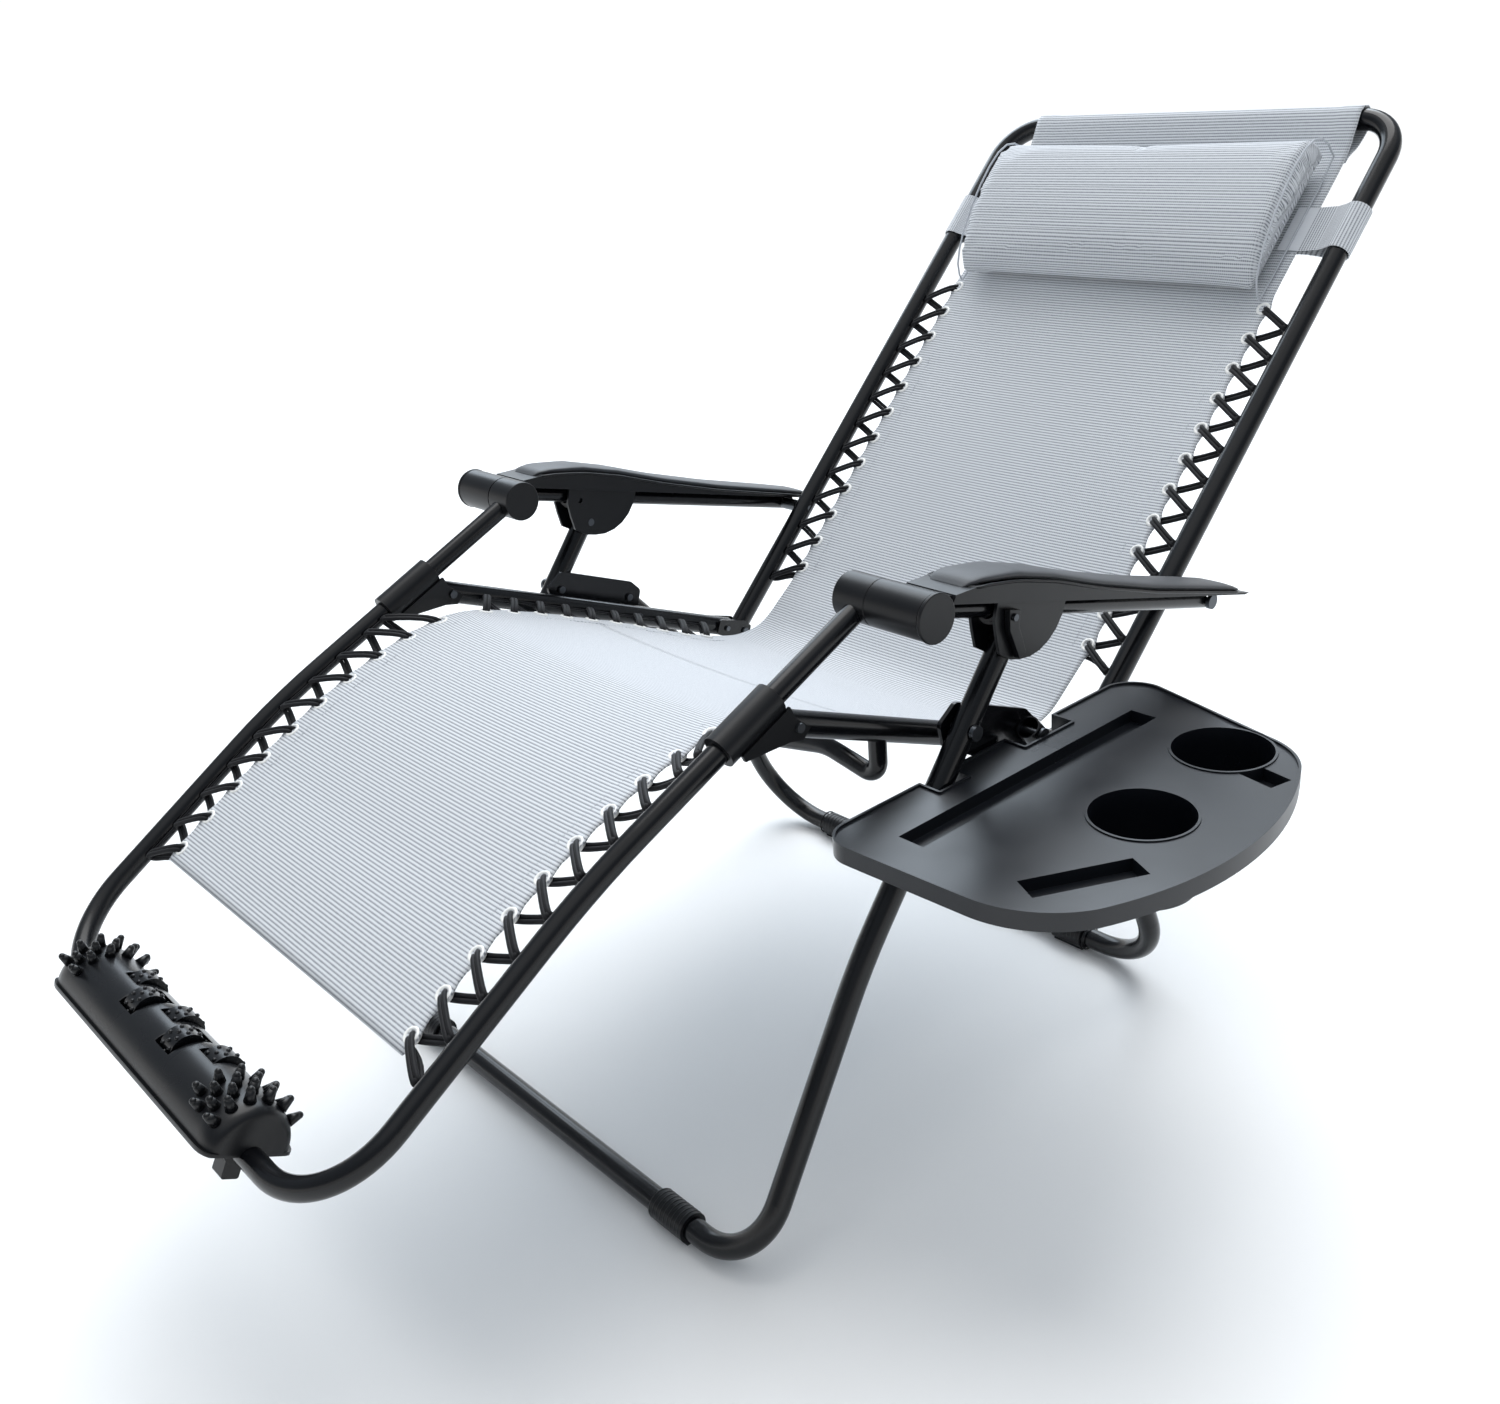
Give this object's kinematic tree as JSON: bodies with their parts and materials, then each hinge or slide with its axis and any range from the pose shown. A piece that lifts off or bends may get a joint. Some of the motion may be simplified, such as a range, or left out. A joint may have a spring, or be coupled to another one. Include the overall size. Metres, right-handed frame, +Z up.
{
  "type": "zero gravity recliner",
  "caption": "Folding reclining lounger with a laced mesh sling on a black tube frame, padded arms with recline locks, head pillow, side tray with cup wells and a roller foot massager.",
  "frame": {"origin": "centre of the bounding box at floor height", "axes": "-Y towards the feet, +Y towards the head, +X to the sitter's left (tray side), +Z up"},
  "size_m": [0.882, 1.4029, 0.83],
  "materials": {
    "black_steel": "semi-gloss black powder coat",
    "black_plastic": "satin black moulded nylon",
    "dark_fastener": "blackened steel",
    "light_mesh": "coated mesh, fine ribs",
    "white_grommet": "moulded, smooth",
    "elastic_cord": "braided elastic",
    "soft_pad": "soft foam skin",
    "tray_plastic": "fine grain, satin",
    "massage_plastic": "satin"
  },
  "bodies": {
    "stand": {"front_leg_frame": "black_steel", "hub_plate_left": "black_steel", "hub_plate_right": "black_steel", "pivot_bolts": "dark_fastener", "seat_pivot_spacers": "dark_fastener", "front_floor_sleeves": "black_plastic"},
    "rear_legs": {"rear_leg_frame": "black_steel", "rear_floor_sleeves": "black_plastic"},
    "seat": {"seat_rail_left": "black_steel", "seat_rail_right": "black_steel", "seat_crossbar": "black_steel", "back_hinge_plates": "black_steel", "back_hinge_pins": "dark_fastener", "sling_seat_panel": "light_mesh", "seat_grommets": "white_grommet", "seat_lacing": "elastic_cord"},
    "footrest": {"foot_frame": "black_steel", "foot_bracket_left": "black_plastic", "foot_bracket_right": "black_plastic", "foot_hinge_pins": "dark_fastener", "arm_barrels": "black_plastic", "arm_axles": "dark_fastener", "barrel_caps": "black_plastic", "sling_leg_panel": "light_mesh", "leg_grommets": "white_grommet", "leg_lacing": "elastic_cord", "massager_shell": "massage_plastic", "massager_nubs": "massage_plastic", "massager_clamps": "massage_plastic", "roller_pins": "dark_fastener"},
    "backrest": {"back_frame": "black_steel", "arm_pivot_bolts": "dark_fastener", "sling_back_panel": "light_mesh", "back_grommets": "white_grommet", "back_lacing": "elastic_cord"},
    "pillow": {"head_pillow": "light_mesh", "pillow_straps": "light_mesh"},
    "arm_left": {"arm_shell_left": "black_plastic", "arm_pad_left": "soft_pad", "arm_rail_left": "black_steel"},
    "arm_right": {"arm_shell_right": "black_plastic", "arm_pad_right": "soft_pad", "arm_rail_right": "black_steel"},
    "latch_left": {"latch_housing_left": "black_plastic", "lever_pin_left": "dark_fastener"},
    "latch_right": {"latch_housing_right": "black_plastic", "lever_pin_right": "dark_fastener"},
    "lever_left": {"latch_lever_left": "black_plastic"},
    "lever_right": {"latch_lever_right": "black_plastic"},
    "tray": {"side_tray": "tray_plastic", "cup_wells": "tray_plastic", "tray_clip": "tray_plastic"},
    "roller_1": {"massage_roller_1": "massage_plastic"},
    "roller_2": {"massage_roller_2": "massage_plastic"},
    "roller_3": {"massage_roller_3": "massage_plastic"},
    "roller_4": {"massage_roller_4": "massage_plastic"},
    "roller_5": {"massage_roller_5": "massage_plastic"}
  },
  "joints": [
    {"name": "seat_recline", "type": "hinge", "parent": "stand", "child": "seat", "pos_m": [-0.108, 0.00985, 0.3635], "axis": [-1, 0, 0], "range_deg": [-12, 12]},
    {"name": "foot_hinge", "type": "hinge", "parent": "seat", "child": "footrest", "pos_m": [-0.108, -0.22215, 0.4602], "axis": [-1, 0, 0], "range_deg": [-9.2, 9.2]},
    {"name": "back_hinge", "type": "hinge", "parent": "seat", "child": "backrest", "pos_m": [-0.108, 0.15875, 0.3008], "axis": [-1, 0, 0], "range_deg": [-6, 6]},
    {"name": "arm_hinge_left", "type": "hinge", "parent": "footrest", "child": "arm_left", "pos_m": [-0.108, -0.12755, 0.5345], "axis": [-1, 0, 0], "range_deg": [-9.5, 9.5]},
    {"name": "arm_hinge_right", "type": "hinge", "parent": "footrest", "child": "arm_right", "pos_m": [-0.108, -0.12755, 0.5345], "axis": [-1, 0, 0], "range_deg": [-9.5, 9.5]},
    {"name": "latch_swivel_left", "type": "hinge", "parent": "stand", "child": "latch_left", "pos_m": [-0.108, -0.01315, 0.474], "axis": [-1, 0, 0], "range_deg": [-11.8, 11.8]},
    {"name": "latch_swivel_right", "type": "hinge", "parent": "stand", "child": "latch_right", "pos_m": [-0.108, -0.01315, 0.474], "axis": [-1, 0, 0], "range_deg": [-11.8, 11.8]},
    {"name": "rear_leg_fold", "type": "hinge", "parent": "stand", "child": "rear_legs", "pos_m": [-0.108, 0.02485, 0.3745], "axis": [-1, 0, 0], "range_deg": [0, 68]},
    {"name": "lock_lever_left", "type": "hinge", "parent": "latch_left", "child": "lever_left", "pos_m": [-0.108, -0.0241, 0.50193], "axis": [-1, 0, 0], "range_deg": [-30, 0]},
    {"name": "lock_lever_right", "type": "hinge", "parent": "latch_right", "child": "lever_right", "pos_m": [-0.108, -0.0241, 0.50193], "axis": [-1, 0, 0], "range_deg": [-30, 0]},
    {"name": "tray_lift_off", "type": "slide", "parent": "stand", "child": "tray", "axis": [1, 0, 0], "range_m": [0, 0.18]},
    {"name": "pillow_slide", "type": "slide", "parent": "backrest", "child": "pillow", "axis": [0, 0.7162, 0.6979], "range_m": [-0.06, 0.03]},
    {"name": "roller_spin_1", "type": "hinge", "parent": "footrest", "child": "roller_1", "pos_m": [-0.194, -0.64998, 0.27051], "axis": [1, 0, 0], "continuous": true},
    {"name": "roller_spin_2", "type": "hinge", "parent": "footrest", "child": "roller_2", "pos_m": [-0.156, -0.66207, 0.27757], "axis": [1, 0, 0], "continuous": true},
    {"name": "roller_spin_3", "type": "hinge", "parent": "footrest", "child": "roller_3", "pos_m": [-0.118, -0.64998, 0.27051], "axis": [1, 0, 0], "continuous": true},
    {"name": "roller_spin_4", "type": "hinge", "parent": "footrest", "child": "roller_4", "pos_m": [-0.08, -0.66207, 0.27757], "axis": [1, 0, 0], "continuous": true},
    {"name": "roller_spin_5", "type": "hinge", "parent": "footrest", "child": "roller_5", "pos_m": [-0.042, -0.64998, 0.27051], "axis": [1, 0, 0], "continuous": true}
  ],
  "couplings": [
    {"joint": "foot_hinge", "follows": "seat_recline", "ratio": 0.758},
    {"joint": "back_hinge", "follows": "seat_recline", "ratio": 0.489},
    {"joint": "arm_hinge_left", "follows": "seat_recline", "ratio": -0.785},
    {"joint": "arm_hinge_right", "follows": "seat_recline", "ratio": -0.785},
    {"joint": "latch_swivel_left", "follows": "seat_recline", "ratio": 0.972},
    {"joint": "latch_swivel_right", "follows": "seat_recline", "ratio": 0.972}
  ]
}
